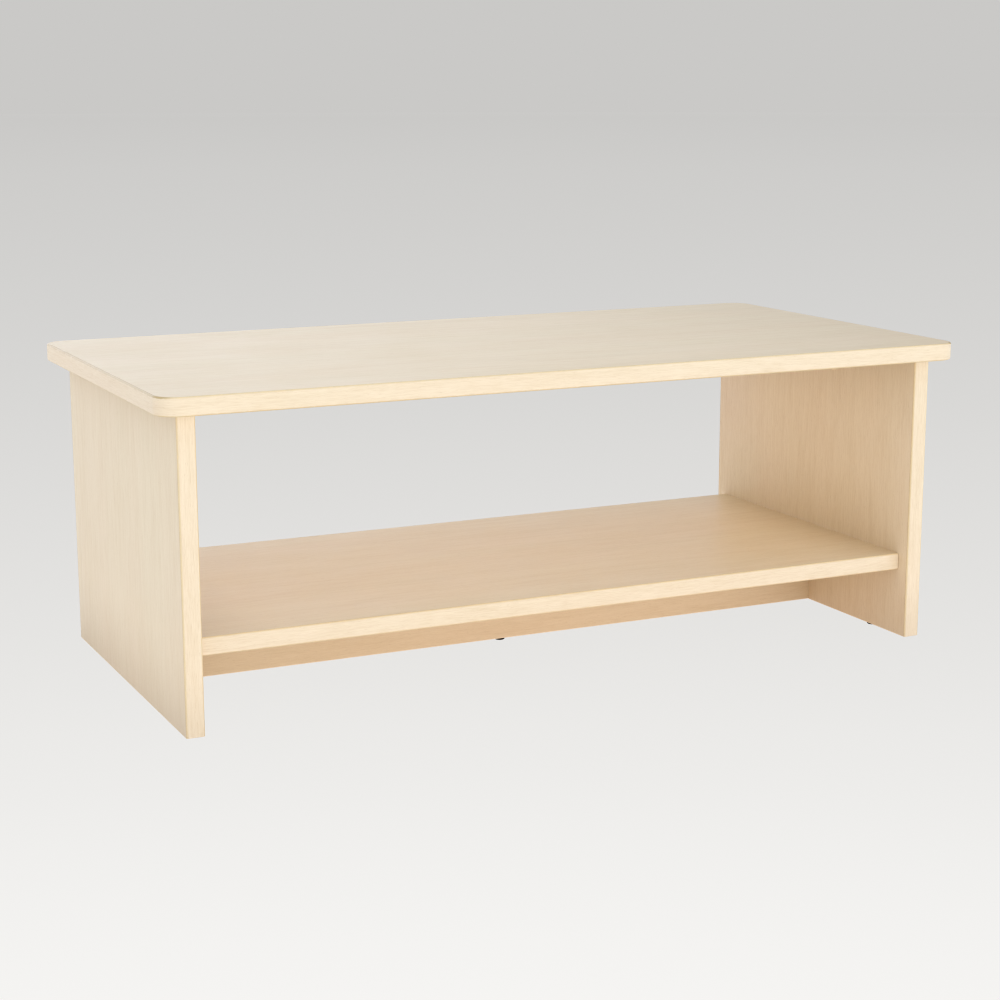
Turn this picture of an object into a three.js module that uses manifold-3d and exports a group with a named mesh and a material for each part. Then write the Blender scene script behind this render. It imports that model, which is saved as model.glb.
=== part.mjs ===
// Low communion table: a top board with rounded corners on two upright side panels,
// an open shelf between them and a stretcher board under the shelf.
// Laminated 25 mm boards with rounded edge bands, joined by cam locks and wooden dowels.
// Units are millimetres, +Z is up, X runs along the length, -Y is the front.
// The origin is on the floor, under the middle of the top.

import * as THREE from 'three';
import { mergeVertices } from 'three/addons/utils/BufferGeometryUtils.js';
import Module from 'manifold-3d';

const wasm = await Module();
wasm.setup();

// ---------------------------------------------------------------- driving dimensions

const TOP_LENGTH = 1200;
const TOP_WIDTH = 600;
const HEIGHT = 450;
const BOARD = 25; // every board's thickness
const TOP_CORNER = 30; // corner radius of the top, in plan
const BAND = 3; // thickness of the visible edge bands
const ARRIS = 3; // radius on the edge bands' outer corners
const FOOT_BAND = 1; // thin band on the bottom edges

const OVERHANG_END = 30; // top past the side panels' outer faces
const SIDE_DEPTH = 540; // side panels, front to back
const SHELF_SETBACK = 22; // shelf edge behind the side panels' edges, front and rear
const SHELF_UNDERSIDE = 104.5; // above the floor
const GLIDE_HEIGHT = 5;
const GLIDE_RADIUS = 8;
const GLIDE_INSET = 100; // glide centre from the side panels' front and rear edges

// cam locks: cam in one board, bolt screwed into the face of the other
const CAM_RADIUS = 7.5;
const CAM_LENGTH = 16.5;
const CAM_POCKET_DEPTH = 17;
const CAM_DISTANCE = 34; // cam axis from the joint face
const BOLT_THREAD_RADIUS = 3;
const BOLT_THREAD_DEPTH = 11.5;
const DOWEL_RADIUS = 4;
const DOWEL_SPACE = 0.3; // clearance round inner fittings

const TOP_CAM_Y = 64; // top joint: cams near the middle of the panel head
const TOP_DOWEL_Y = 192;
const SHELF_CAM_Y = 176;
const SHELF_DOWEL_Y = 112;
const STRETCHER_CAM_Z = 69;
const STRETCHER_DOWEL_Z = 33;
const STRETCHER_DOWEL_X = 320;

// ---------------------------------------------------------------- derived levels

const TOP_UNDER = HEIGHT - BOARD;
const SIDE_OUTER = TOP_LENGTH / 2 - OVERHANG_END;
const SIDE_INNER = SIDE_OUTER - BOARD;
const SIDE_MID = SIDE_OUTER - BOARD / 2;
const SIDE_Y = SIDE_DEPTH / 2;
const SHELF_Y = SIDE_Y - SHELF_SETBACK;
const SHELF_TOP = SHELF_UNDERSIDE + BOARD;
const SHELF_MID = SHELF_UNDERSIDE + BOARD / 2;
const FLOOR_GAP = GLIDE_HEIGHT;
const GLIDE_Y = SIDE_Y - GLIDE_INSET;

// ---------------------------------------------------------------- finishes

const finish = (color, roughness, metalness = 0) => () =>
  new THREE.MeshStandardMaterial({ color, roughness, metalness });
const LAMINATE = finish(0xe3d2b9, 0.42);
const LIPPING = finish(0xf8e6c9, 0.38);
const BEECH = finish(0xcfa878, 0.75);
const ZINC = finish(0xb9bcc0, 0.38, 0.9);
const STEEL = finish(0xc7cacd, 0.3, 1.0);
const CAP_PLASTIC = finish(0xecd9bb, 0.4);
const BLACK_PLASTIC = finish(0x1b1a19, 0.5);

// ---------------------------------------------------------------- solids

// a three.js geometry as a solid that can be joined and cut
function solid(geometry) {
  let g = geometry.clone();
  for (const name of Object.keys(g.attributes)) if (name !== 'position') g.deleteAttribute(name);
  g = mergeVertices(g, 1e-4);
  return new wasm.Manifold(
    new wasm.Mesh({
      numProp: 3,
      vertProperties: new Float32Array(g.attributes.position.array),
      triVerts: new Uint32Array(g.index.array),
    }),
  );
}

function surface(manifold) {
  const mesh = manifold.getMesh();
  const points = new Float32Array((mesh.vertProperties.length / mesh.numProp) * 3);
  for (let i = 0; i < points.length / 3; i++)
    for (let k = 0; k < 3; k++) points[3 * i + k] = mesh.vertProperties[i * mesh.numProp + k];
  const g = new THREE.BufferGeometry();
  g.setAttribute('position', new THREE.BufferAttribute(points, 3));
  g.setIndex(new THREE.BufferAttribute(new Uint32Array(mesh.triVerts), 1));
  const flat = g.toNonIndexed();
  flat.computeVertexNormals();
  return flat;
}

function box(x0, x1, y0, y1, z0, z1) {
  return new THREE.BoxGeometry(x1 - x0, y1 - y0, z1 - z0).translate(
    (x0 + x1) / 2,
    (y0 + y1) / 2,
    (z0 + z1) / 2,
  );
}

// unit vectors for a local Z that points along the named direction
const DIRECTIONS = {
  '+x': [[0, 1, 0], [0, 0, 1], [1, 0, 0]],
  '-x': [[0, 0, 1], [0, 1, 0], [-1, 0, 0]],
  '+y': [[0, 0, 1], [1, 0, 0], [0, 1, 0]],
  '-y': [[1, 0, 0], [0, 0, 1], [0, -1, 0]],
  '+z': [[1, 0, 0], [0, 1, 0], [0, 0, 1]],
  '-z': [[0, 1, 0], [1, 0, 0], [0, 0, -1]],
};

function place(geometry, direction, at) {
  const [u, v, w] = DIRECTIONS[direction].map((d) => new THREE.Vector3(...d));
  return geometry.applyMatrix4(
    new THREE.Matrix4().makeBasis(u, v, w).setPosition(new THREE.Vector3(...at)),
  );
}

// a turned piece: profile of [radius, height] pairs about a local Z axis, closed on the axis
function turned(profile, segments, direction, at) {
  const points = profile.map(([r, h]) => new THREE.Vector2(r, h));
  const g = new THREE.LatheGeometry(points, segments);
  g.rotateX(Math.PI / 2); // the lathe's own axis is Y
  return place(g, direction, at);
}

function rod(radius, start, end, segments, direction, at) {
  return turned([[0, start], [radius, start], [radius, end], [0, end]], segments, direction, at);
}

// a drilled bore, from a little outside the face down to its depth
function bore(radius, depth, direction, at, segments = 12) {
  return rod(radius, -1, depth, segments, direction, at);
}

function cut(geometry, ...tools) {
  let body = solid(geometry);
  for (const tool of tools.flat()) body = body.subtract(solid(tool));
  return surface(body);
}

// ---------------------------------------------------------------- board and band shapes

// rounded rectangle in plan, as a list of points
function roundedOutline(halfX, halfY, radius, perCorner) {
  const points = [];
  const corners = [[1, 1, 0], [-1, 1, 90], [-1, -1, 180], [1, -1, 270]];
  for (const [sx, sy, start] of corners)
    for (let i = 0; i <= perCorner; i++) {
      const a = THREE.MathUtils.degToRad(start + (90 * i) / perCorner);
      points.push([
        sx * (halfX - radius) + radius * Math.cos(a),
        sy * (halfY - radius) + radius * Math.sin(a),
      ]);
    }
  return points;
}

const CORNER_STEPS = 12;
const ARRIS_STEPS = 6;

function roundedBoard(halfX, halfY, radius, z0, z1) {
  const shape = new THREE.Shape(
    roundedOutline(halfX, halfY, radius, CORNER_STEPS).map(([x, y]) => new THREE.Vector2(x, y)),
  );
  return new THREE.ExtrudeGeometry(shape, { depth: z1 - z0, bevelEnabled: false }).translate(0, 0, z0);
}

// section of an edge band: u runs outward from the board's edge, v across its thickness
function bandSection(thickness, width, radius) {
  const points = [[0, 0]];
  for (let i = 0; i <= ARRIS_STEPS; i++) {
    const a = (Math.PI / 2) * (i / ARRIS_STEPS);
    points.push([thickness - radius + radius * Math.sin(a), radius - radius * Math.cos(a)]);
  }
  for (let i = 0; i <= ARRIS_STEPS; i++) {
    const a = (Math.PI / 2) * (i / ARRIS_STEPS);
    points.push([thickness - radius + radius * Math.cos(a), width - radius + radius * Math.sin(a)]);
  }
  points.push([0, width]);
  return points.filter(
    (p, i) => i === 0 || Math.hypot(p[0] - points[i - 1][0], p[1] - points[i - 1][1]) > 1e-6,
  );
}

// the top's band: the section carried round the rounded rectangle
function loopBand(halfX, halfY, radius, z0) {
  const section = bandSection(BAND, BOARD, ARRIS);
  const rings = section.map(([u, v]) => ({
    loop: roundedOutline(halfX - BAND + u, halfY - BAND + u, radius - BAND + u, CORNER_STEPS),
    z: z0 + v,
  }));
  const n = rings[0].loop.length;
  const m = rings.length;
  const points = [];
  for (const { loop, z } of rings) for (const [x, y] of loop) points.push(x, y, z);
  const index = [];
  for (let j = 0; j < m; j++)
    for (let i = 0; i < n; i++) {
      const a = j * n + i;
      const b = j * n + ((i + 1) % n);
      const c = ((j + 1) % m) * n + ((i + 1) % n);
      const d = ((j + 1) % m) * n + i;
      index.push(a, b, c, a, c, d);
    }
  const g = new THREE.BufferGeometry();
  g.setAttribute('position', new THREE.BufferAttribute(new Float32Array(points), 3));
  g.setIndex(index);
  const flat = g.toNonIndexed();
  flat.computeVertexNormals();
  return flat;
}

// an upright band on a side panel's front or rear edge
function uprightBand(x0, edgeY, outward, z0, z1) {
  const section = bandSection(BAND, BOARD, ARRIS).map(([u, v]) => [x0 + v, edgeY + outward * u]);
  if (outward > 0) section.reverse();
  const shape = new THREE.Shape(section.map(([x, y]) => new THREE.Vector2(x, y)));
  return new THREE.ExtrudeGeometry(shape, { depth: z1 - z0, bevelEnabled: false }).translate(0, 0, z0);
}

// a level band on the shelf's front or rear edge
function levelBand(x0, x1, edgeY, outward, z0) {
  const section = bandSection(BAND, BOARD, ARRIS).map(([u, v]) => [edgeY + outward * u, z0 + v]);
  const shape = new THREE.Shape(section.map(([y, z]) => new THREE.Vector2(y, z)));
  const g = new THREE.ExtrudeGeometry(shape, { depth: x1 - x0, bevelEnabled: false });
  return place(g, '+x', [x0, 0, 0]);
}

// ---------------------------------------------------------------- fittings

const CAM_SEGMENTS = 24;

// cam drum with the pocket that takes the bolt's head and a cross recess in its face.
// "into" is the way the cam goes into its board, "bolt" the way to the joint face.
function cam(into, bolt, at) {
  const drum = turned(
    [[0, 0.3], [CAM_RADIUS - 0.5, 0.3], [CAM_RADIUS, 0.8], [CAM_RADIUS, CAM_LENGTH], [0, CAM_LENGTH]],
    CAM_SEGMENTS,
    into,
    at,
  );
  const w = new THREE.Vector3(...DIRECTIONS[into][2]);
  const u = new THREE.Vector3(...DIRECTIONS[bolt][2]);
  const v = new THREE.Vector3().crossVectors(w, u);
  const basis = new THREE.Matrix4().makeBasis(u, v, w).setPosition(new THREE.Vector3(...at));
  const mid = BOARD / 2;
  const tools = [
    box(-4.3, 9, -4, 4, mid - 4, mid + 4), // head pocket, open towards the bolt
    box(-4, 4, -0.6, 0.6, -1, 2.8), // cross recess
    box(-0.6, 0.6, -4, 4, -1, 2.8),
  ].map((g) => g.applyMatrix4(basis));
  return cut(drum, tools);
}

// cam bolt: screwed shank in the face board, collar, shank and round head towards the cam
function camBolt(direction, at) {
  return cut(
    turned(
      [
        [0, -11],
        [1.8, -11],
        [BOLT_THREAD_RADIUS, -9.5],
        [BOLT_THREAD_RADIUS, 0.3],
        [3.7, 0.3],
        [3.7, 2],
        [2.75, 3],
        [2.75, 26],
        [1.8, 27],
        [1.8, 31.5],
        [3.3, 32.4],
        [3.3, 35],
        [1.9, 36],
        [0, 36],
      ],
      10,
      direction,
      at,
    ),
  );
}

// wooden dowel: a plain pin with chamfered ends
function dowel(length, before, direction, at) {
  return turned(
    [
      [0, -before],
      [DOWEL_RADIUS - 0.8, -before],
      [DOWEL_RADIUS, -before + 1],
      [DOWEL_RADIUS, length - before - 1],
      [DOWEL_RADIUS - 0.8, length - before],
      [0, length - before],
    ],
    12,
    direction,
    at,
  );
}

// glide: a low round foot moulded on a nail
function glide(x, y) {
  return turned(
    [
      [0, 0],
      [5.4, 0],
      [6.9, 0.5],
      [7.8, 1.6],
      [GLIDE_RADIUS, 3],
      [GLIDE_RADIUS, GLIDE_HEIGHT],
      [1.2, GLIDE_HEIGHT],
      [1.2, 21],
      [0, 23.5],
    ],
    24,
    '+z',
    [x, y, 0],
  );
}

// cover cap: a low domed disc over a cam, with a short spigot into the cam's cross recess
function cap(direction, at) {
  return turned(
    [
      [0, -1.5],
      [0.45, -1.5],
      [0.45, 0],
      [8.5, 0],
      [8.5, 0.4],
      [7.7, 1],
      [0, 1.1],
    ],
    24,
    direction,
    at,
  );
}

const CAM_BORE = CAM_RADIUS + DOWEL_SPACE;
const BOLT_BORE = 4;
const THREAD_BORE = BOLT_THREAD_RADIUS + DOWEL_SPACE;
const DOWEL_BORE = DOWEL_RADIUS + DOWEL_SPACE;
const NAIL_BORE = 1.5;
const SIDES = [
  ['left', -1],
  ['right', 1],
];
const ENDS = [
  ['front', -1],
  ['rear', 1],
];

// ---------------------------------------------------------------- the assembly

const table = new THREE.Group();
table.name = 'communion_table';

function add(parent, name, geometry, material) {
  const mesh = new THREE.Mesh(geometry, material());
  mesh.name = name;
  parent.add(mesh);
  return mesh;
}

// top board
const top = new THREE.Group();
table.add(top);
{
  const tools = [];
  for (const [, s] of SIDES)
    for (const [, e] of ENDS) {
      tools.push(bore(THREAD_BORE, 12, '+z', [s * SIDE_MID, e * TOP_CAM_Y, TOP_UNDER]));
      tools.push(bore(DOWEL_BORE, 15, '+z', [s * SIDE_MID, e * TOP_DOWEL_Y, TOP_UNDER]));
    }
  const core = roundedBoard(
    TOP_LENGTH / 2 - BAND,
    TOP_WIDTH / 2 - BAND,
    TOP_CORNER - BAND,
    TOP_UNDER,
    HEIGHT,
  );
  add(top, 'top_panel', cut(core, tools), LAMINATE);
  add(
    top,
    'top_edge_band',
    loopBand(TOP_LENGTH / 2, TOP_WIDTH / 2, TOP_CORNER, TOP_UNDER),
    LIPPING,
  );
}

// side panels
for (const [side, s] of SIDES) {
  const group = new THREE.Group();
  table.add(group);
  const x0 = s > 0 ? SIDE_INNER : -SIDE_OUTER;
  const x1 = x0 + BOARD;
  const inner = s * SIDE_INNER;
  const outward = s > 0 ? '+x' : '-x';
  const inward = s > 0 ? '-x' : '+x';

  const tools = [];
  for (const [, e] of ENDS) {
    // head of the panel: cam pockets in the inner face, bolt and dowel bores in the edge
    tools.push(
      bore(CAM_BORE, CAM_POCKET_DEPTH, outward, [inner, e * TOP_CAM_Y, TOP_UNDER - CAM_DISTANCE], 24),
    );
    tools.push(bore(BOLT_BORE, CAM_DISTANCE, '-z', [s * SIDE_MID, e * TOP_CAM_Y, TOP_UNDER]));
    tools.push(bore(DOWEL_BORE, 22, '-z', [s * SIDE_MID, e * TOP_DOWEL_Y, TOP_UNDER]));
    // shelf joint
    tools.push(bore(THREAD_BORE, 12, outward, [inner, e * SHELF_CAM_Y, SHELF_MID]));
    tools.push(bore(DOWEL_BORE, 13, outward, [inner, e * SHELF_DOWEL_Y, SHELF_MID]));
    // nails of the glides
    tools.push(bore(NAIL_BORE, 20, '+z', [s * SIDE_MID, e * GLIDE_Y, FLOOR_GAP], 12));
  }
  tools.push(bore(THREAD_BORE, 12, outward, [inner, 0, STRETCHER_CAM_Z]));
  tools.push(bore(DOWEL_BORE, 13, outward, [inner, 0, STRETCHER_DOWEL_Z]));
  add(
    group,
    `${side}_side_panel`,
    cut(
      box(x0, x1, -SIDE_Y + BAND, SIDE_Y - BAND, FLOOR_GAP + FOOT_BAND, TOP_UNDER),
      tools,
    ),
    LAMINATE,
  );
  for (const [end, e] of ENDS)
    add(
      group,
      `${side}_side_${end}_band`,
      uprightBand(x0, e * (SIDE_Y - BAND), e, FLOOR_GAP, TOP_UNDER),
      LIPPING,
    );
  add(
    group,
    `${side}_side_foot_band`,
    cut(
      box(x0, x1, -SIDE_Y + BAND, SIDE_Y - BAND, FLOOR_GAP, FLOOR_GAP + FOOT_BAND),
      ENDS.map(([, e]) => bore(NAIL_BORE, 4, '+z', [s * SIDE_MID, e * GLIDE_Y, FLOOR_GAP], 12)),
    ),
    LIPPING,
  );

  // fittings between the side panel and the top
  for (const [end, e] of ENDS) {
    const y = e * TOP_CAM_Y;
    add(group, `top_cam_${side}_${end}`, cam(outward, '+z', [inner, y, TOP_UNDER - CAM_DISTANCE]), ZINC);
    add(group, `top_cam_cap_${side}_${end}`, cap(inward, [inner, y, TOP_UNDER - CAM_DISTANCE]), CAP_PLASTIC);
    add(group, `top_cam_bolt_${side}_${end}`, camBolt('-z', [s * SIDE_MID, y, TOP_UNDER]), STEEL);
    add(
      group,
      `top_dowel_${side}_${end}`,
      dowel(35, 14, '-z', [s * SIDE_MID, e * TOP_DOWEL_Y, TOP_UNDER]),
      BEECH,
    );
    add(group, `glide_${side}_${end}`, glide(s * SIDE_MID, e * GLIDE_Y), BLACK_PLASTIC);
  }
}

// shelf
const shelf = new THREE.Group();
table.add(shelf);
{
  const tools = [];
  for (const [, s] of SIDES) {
    const inward = s > 0 ? '-x' : '+x';
    for (const [, e] of ENDS) {
      const x = s * (SIDE_INNER - CAM_DISTANCE);
      tools.push(bore(CAM_BORE, CAM_POCKET_DEPTH, '+z', [x, e * SHELF_CAM_Y, SHELF_UNDERSIDE], 24));
      tools.push(
        bore(BOLT_BORE, CAM_DISTANCE, inward, [s * SIDE_INNER, e * SHELF_CAM_Y, SHELF_MID]),
      );
      tools.push(
        bore(DOWEL_BORE, 24, inward, [s * SIDE_INNER, e * SHELF_DOWEL_Y, SHELF_MID]),
      );
    }
  }
  for (const x of [-STRETCHER_DOWEL_X, 0, STRETCHER_DOWEL_X])
    tools.push(bore(DOWEL_BORE, 13, '+z', [x, 0, SHELF_UNDERSIDE]));
  add(
    shelf,
    'shelf_panel',
    cut(
      box(-SIDE_INNER, SIDE_INNER, -SHELF_Y + BAND, SHELF_Y - BAND, SHELF_UNDERSIDE, SHELF_TOP),
      tools,
    ),
    LAMINATE,
  );
  for (const [end, e] of ENDS)
    add(
      shelf,
      `shelf_${end}_band`,
      levelBand(-SIDE_INNER, SIDE_INNER, e * (SHELF_Y - BAND), e, SHELF_UNDERSIDE),
      LIPPING,
    );
  for (const [side, s] of SIDES) {
    const inward = s > 0 ? '-x' : '+x';
    const outward = s > 0 ? '+x' : '-x';
    for (const [end, e] of ENDS) {
      add(
        shelf,
        `shelf_cam_${side}_${end}`,
        cam('+z', outward, [s * (SIDE_INNER - CAM_DISTANCE), e * SHELF_CAM_Y, SHELF_UNDERSIDE]),
        ZINC,
      );
      add(
        shelf,
        `shelf_cam_bolt_${side}_${end}`,
        camBolt(inward, [s * SIDE_INNER, e * SHELF_CAM_Y, SHELF_MID]),
        STEEL,
      );
      add(
        shelf,
        `shelf_dowel_${side}_${end}`,
        dowel(35, 12, inward, [s * SIDE_INNER, e * SHELF_DOWEL_Y, SHELF_MID]),
        BEECH,
      );
    }
  }
}

// stretcher
const stretcher = new THREE.Group();
table.add(stretcher);
{
  const half = BOARD / 2;
  const tools = [];
  for (const [, s] of SIDES) {
    const inward = s > 0 ? '-x' : '+x';
    tools.push(
      bore(CAM_BORE, CAM_POCKET_DEPTH, '-y', [s * (SIDE_INNER - CAM_DISTANCE), half, STRETCHER_CAM_Z], 24),
    );
    tools.push(bore(BOLT_BORE, CAM_DISTANCE, inward, [s * SIDE_INNER, 0, STRETCHER_CAM_Z]));
    tools.push(bore(DOWEL_BORE, 24, inward, [s * SIDE_INNER, 0, STRETCHER_DOWEL_Z]));
  }
  for (const x of [-STRETCHER_DOWEL_X, 0, STRETCHER_DOWEL_X])
    tools.push(bore(DOWEL_BORE, 20, '-z', [x, 0, SHELF_UNDERSIDE]));
  tools.push(bore(NAIL_BORE, 20, '+z', [0, 0, FLOOR_GAP], 12));
  add(
    stretcher,
    'stretcher_panel',
    cut(
      box(-SIDE_INNER, SIDE_INNER, -half, half, FLOOR_GAP + FOOT_BAND, SHELF_UNDERSIDE),
      tools,
    ),
    LAMINATE,
  );
  add(
    stretcher,
    'stretcher_foot_band',
    cut(
      box(-SIDE_INNER, SIDE_INNER, -half, half, FLOOR_GAP, FLOOR_GAP + FOOT_BAND),
      bore(NAIL_BORE, 4, '+z', [0, 0, FLOOR_GAP], 12),
    ),
    LIPPING,
  );
  for (const [side, s] of SIDES) {
    const inward = s > 0 ? '-x' : '+x';
    const outward = s > 0 ? '+x' : '-x';
    add(
      stretcher,
      `stretcher_cam_${side}`,
      cam('-y', outward, [s * (SIDE_INNER - CAM_DISTANCE), half, STRETCHER_CAM_Z]),
      ZINC,
    );
    add(
      stretcher,
      `stretcher_cam_bolt_${side}`,
      camBolt(inward, [s * SIDE_INNER, 0, STRETCHER_CAM_Z]),
      STEEL,
    );
    add(
      stretcher,
      `stretcher_dowel_${side}`,
      dowel(35, 12, inward, [s * SIDE_INNER, 0, STRETCHER_DOWEL_Z]),
      BEECH,
    );
  }
  for (const [label, x] of [
    ['left', -STRETCHER_DOWEL_X],
    ['middle', 0],
    ['right', STRETCHER_DOWEL_X],
  ])
    add(stretcher, `shelf_rail_dowel_${label}`, dowel(30, 12, '-z', [x, 0, SHELF_UNDERSIDE]), BEECH);
  add(stretcher, 'glide_middle', glide(0, 0), BLACK_PLASTIC);
}

export default table;
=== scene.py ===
# Looks of the low communion table: laminate boards, rounded edge bands, fittings,
# plain pale floor, soft light and camera. Everything is in metres, in the CAD frame.
import math

import bmesh
import bpy
from mathutils import Matrix, Quaternion, Vector


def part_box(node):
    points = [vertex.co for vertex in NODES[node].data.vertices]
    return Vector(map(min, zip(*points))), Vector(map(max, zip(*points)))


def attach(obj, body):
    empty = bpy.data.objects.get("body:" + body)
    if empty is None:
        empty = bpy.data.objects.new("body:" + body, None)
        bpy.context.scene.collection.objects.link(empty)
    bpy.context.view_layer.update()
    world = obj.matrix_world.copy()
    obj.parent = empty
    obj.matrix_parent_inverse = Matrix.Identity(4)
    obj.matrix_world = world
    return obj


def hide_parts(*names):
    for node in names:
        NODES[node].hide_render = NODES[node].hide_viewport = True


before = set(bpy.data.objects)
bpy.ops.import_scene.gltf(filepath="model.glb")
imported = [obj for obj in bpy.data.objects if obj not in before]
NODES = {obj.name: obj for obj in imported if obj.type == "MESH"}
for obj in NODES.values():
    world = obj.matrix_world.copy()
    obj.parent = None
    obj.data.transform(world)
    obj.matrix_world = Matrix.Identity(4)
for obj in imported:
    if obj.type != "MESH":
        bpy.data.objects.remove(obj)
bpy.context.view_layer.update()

MM = 0.001


# ---------------------------------------------------------------- node helpers

class Graph:
    """A short way to write a shader tree."""

    def __init__(self, tree):
        self.tree = tree
        tree.nodes.clear()

    def node(self, kind, inputs=None, **props):
        n = self.tree.nodes.new(kind)
        for k, v in props.items():
            setattr(n, k, v)
        for k, v in (inputs or {}).items():
            self.put(n, k, v)
        return n

    def put(self, n, key, value):
        socket = n.inputs[key]
        if isinstance(value, bpy.types.NodeSocket):
            self.tree.links.new(value, socket)
        else:
            socket.default_value = value

    def math(self, op, a, b=None, c=None, clamp=False):
        n = self.tree.nodes.new("ShaderNodeMath")
        n.operation = op
        n.use_clamp = clamp
        for i, v in enumerate((a, b, c)):
            if v is not None:
                self.put(n, i, v)
        return n.outputs[0]

    def noise(self, vector, detail=2.0, roughness=0.5, distortion=0.0):
        n = self.node(
            "ShaderNodeTexNoise",
            {"Vector": vector, "Scale": 1.0, "Detail": detail, "Roughness": roughness,
             "Distortion": distortion},
            noise_dimensions="3D",
        )
        return n.outputs[0]

    def combine(self, x, y, z):
        return self.node("ShaderNodeCombineXYZ", {0: x, 1: y, 2: z}).outputs[0]

    def separate(self, v):
        return self.node("ShaderNodeSeparateXYZ", {0: v}).outputs

    def mix(self, factor, a, b, blend="MIX"):
        n = self.node("ShaderNodeMix", data_type="RGBA", blend_type=blend)
        self.put(n, "Factor", factor)
        rgba = [s for s in n.inputs if s.type == "RGBA"]
        for socket, v in zip(rgba, (a, b)):
            if isinstance(v, bpy.types.NodeSocket):
                self.tree.links.new(v, socket)
            else:
                socket.default_value = (*v, 1.0) if len(v) == 3 else v
        return [s for s in n.outputs if s.type == "RGBA"][0]

    def ramp(self, factor, stops, interpolation="LINEAR"):
        n = self.node("ShaderNodeValToRGB", {"Fac": factor})
        r = n.color_ramp
        r.interpolation = interpolation
        while len(r.elements) > 1:
            r.elements.remove(r.elements[-1])
        first = True
        for at, colour in stops:
            e = r.elements[0] if first else r.elements.new(at)
            first = False
            e.position = at
            e.color = (*colour, 1.0) if len(colour) == 3 else colour
        return n.outputs["Color"]

    def bsdf(self, **inputs):
        p = self.node("ShaderNodeBsdfPrincipled", inputs={k.replace("_", " "): v for k, v in inputs.items()})
        out = self.node("ShaderNodeOutputMaterial")
        self.tree.links.new(p.outputs[0], out.inputs["Surface"])
        return p


def material(name):
    m = bpy.data.materials.new(name)
    m.use_nodes = True
    return m, Graph(m.node_tree)


def scaled(colour, k):
    if not hasattr(k, "__len__"):
        k = (k, k, k)
    return tuple(c * f for c, f in zip(colour, k))


# ---------------------------------------------------------------- maple print

LAMINATE = (0.900, 0.760, 0.550)   # mean albedo of the board faces
LIPPING = (0.940, 0.797, 0.598)    # mean albedo of the edge bands
LIPPING_CUT = (0.905, 0.740, 0.480)  # the bands' rounded corners, scraped down to the plain plastic

GLUE = (0.450, 0.278, 0.115)       # the thin glue line between a band and its board


def maple(g, along, a, b, mean, seed, contrast=1.0, figure=1.0, fine=1.0):
    """Colour and grain height of a printed maple surface. along runs with the grain, a and b across it."""
    along = g.math("ADD", along, seed * 3.17)
    a = g.math("ADD", a, seed * 1.731)
    # the fibres wander a little sideways
    grain_wander_and_light_falloff = g.noise(g.combine(g.math("MULTIPLY", along, 1.7), g.math("MULTIPLY", a, 6.0), b), 1.0)
    a = g.math("MULTIPLY_ADD", g.math("SUBTRACT", grain_wander_and_light_falloff, 0.5), 0.020, a)
    ripple = g.noise(g.combine(g.math("MULTIPLY", along, 9.0), g.math("MULTIPLY", a, 30.0), b), 1.0)
    a = g.math("MULTIPLY_ADD", g.math("SUBTRACT", ripple, 0.5), 0.0022, a)

    def layer(ka, kb, detail, rough=0.5):
        v = g.combine(g.math("MULTIPLY", along, ka), g.math("MULTIPLY", a, kb), g.math("MULTIPLY", b, kb))
        return g.math("SUBTRACT", g.noise(v, detail, rough), 0.5)

    broad = layer(2.2, 16.0, 2.0)
    streak = layer(8.0, 95.0, 3.0, 0.55)
    thread = layer(20.0, 330.0, 3.0, 0.6)
    fibre = layer(62.0, 1150.0, 2.0, 0.6)
    # growth rings where the saw cut runs flat: contour lines of a slow field
    field = g.noise(g.combine(g.math("MULTIPLY", along, 0.9), g.math("MULTIPLY", a, 5.5), b), 2.0, 0.45)
    rings = g.math("SINE", g.math("MULTIPLY", field, 2 * math.pi * 11.0))
    gate = g.math("MULTIPLY", g.math("ADD", broad, 0.42, clamp=True), rings)
    # short dark flecks, the ends of the vessels
    v = g.combine(g.math("MULTIPLY", along, 130.0), g.math("MULTIPLY", a, 1500.0), g.math("MULTIPLY", b, 1500.0))
    pores = g.math("MULTIPLY", g.math("SUBTRACT", g.noise(v, 1.0), 0.66), 9.0, clamp=True)

    total = g.math("MULTIPLY", broad, 0.22 * contrast)
    total = g.math("MULTIPLY_ADD", streak, 0.42 * contrast, total)
    total = g.math("MULTIPLY_ADD", thread, 0.50 * contrast * fine, total)
    total = g.math("MULTIPLY_ADD", fibre, 0.62 * contrast * fine, total)
    total = g.math("MULTIPLY_ADD", gate, 0.045 * contrast * figure, total)
    tone = g.math("ADD", total, 0.5, clamp=True)
    colour = g.ramp(
        tone,
        [
            (0.0, scaled(mean, (0.840, 0.780, 0.690))),
            (0.35, scaled(mean, (0.955, 0.938, 0.905))),
            (0.55, scaled(mean, (1.010, 1.012, 1.015))),
            (1.0, scaled(mean, (1.085, 1.110, 1.150))),
        ],
    )
    # a slow drift between a pinker and a greener beige
    hue = g.noise(g.combine(g.math("MULTIPLY", along, 2.1), g.math("MULTIPLY", a, 13.0), g.math("ADD", b, 7.3)), 1.0)
    colour = g.mix(g.math("MULTIPLY_ADD", g.math("SUBTRACT", hue, 0.5), 1.3, 0.5, clamp=True),
                   g.mix(1.0, colour, (1.008, 0.990, 0.985), "MULTIPLY"),
                   g.mix(1.0, colour, (0.994, 1.006, 0.990), "MULTIPLY"))
    colour = g.mix(g.math("MULTIPLY", pores, 0.55), colour, scaled(mean, (0.74, 0.66, 0.55)))
    height = g.math("MULTIPLY_ADD", pores, -0.55, g.math("MULTIPLY_ADD", fibre, 0.9, g.math("MULTIPLY", thread, 0.5)))
    return colour, height, tone


def painted_crevice_shade(g, colour, reach, tint):
    """Painted shade: darkens and warms the colour where an ambient occlusion node finds other surfaces close by, in
    corners and where boards meet.
    """
    ao = g.node("ShaderNodeAmbientOcclusion", {"Distance": reach}, samples=6)
    open_ = ao.outputs["AO"]
    return g.mix(open_, g.mix(1.0, colour, tint, "MULTIPLY"), colour)


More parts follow.
